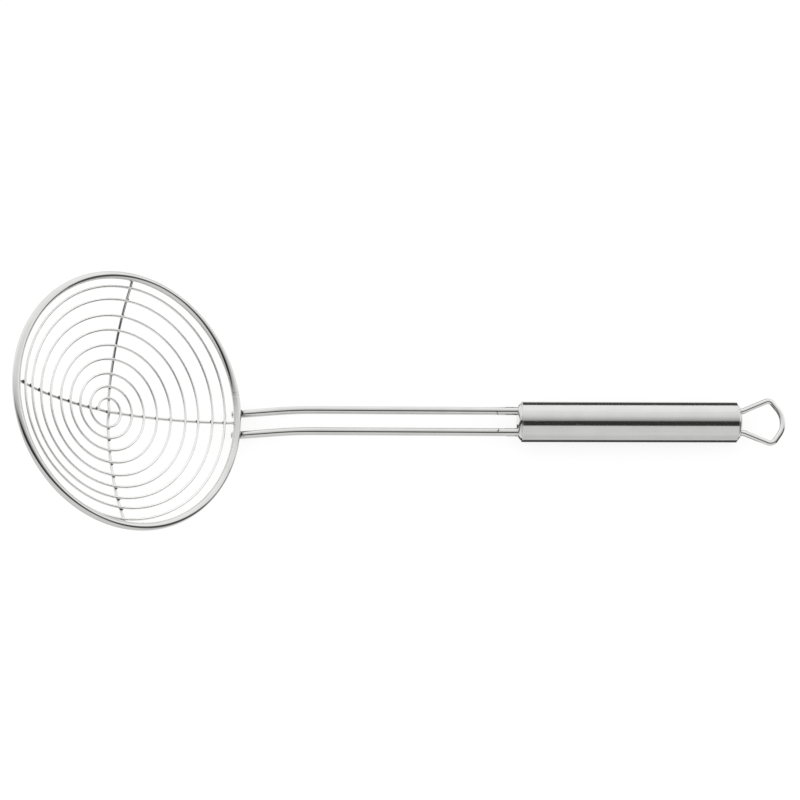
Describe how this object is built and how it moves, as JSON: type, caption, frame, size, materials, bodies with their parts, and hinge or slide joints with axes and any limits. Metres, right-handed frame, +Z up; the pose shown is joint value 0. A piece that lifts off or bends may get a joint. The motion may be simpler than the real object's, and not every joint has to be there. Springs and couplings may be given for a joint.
{
  "type": "spider skimmer",
  "caption": "Wire spider skimmer: a round spiral-wire bowl on a tilted ring rim, a twin-rod neck, a round tube handle and a hanging loop.",
  "frame": {"origin": "middle of the footprint, on the table the skimmer lies on", "axes": "+X along the handle from the bowl to the hanging loop, +Y across, +Z up, with the bowl open upward"},
  "size_m": [0.3781, 0.13, 0.0888],
  "materials": {
    "wire_steel": "bright polished stainless wire",
    "tube_steel": "polished drawn stainless tube with a faint lengthwise grain",
    "cap_steel": "polished pressed stainless sheet",
    "weld_steel": "weld metal, dulled and a little darkened by heat"
  },
  "bodies": {
    "root": {"rim_ring": "wire_steel", "rim_butt_weld": "weld_steel", "spiral_wire": "wire_steel", "long_support_wire": "wire_steel", "cross_support_wire": "wire_steel", "crossing_welds": "weld_steel", "rim_joint_welds": "weld_steel", "neck_rod_right": "wire_steel", "neck_rod_left": "wire_steel", "neck_welds": "weld_steel", "handle_tube": "tube_steel", "front_end_cap": "cap_steel", "rear_end_cap": "cap_steel", "hanging_loop": "wire_steel", "front_cap_welds": "weld_steel", "rear_cap_welds": "weld_steel"}
  },
  "joints": []
}
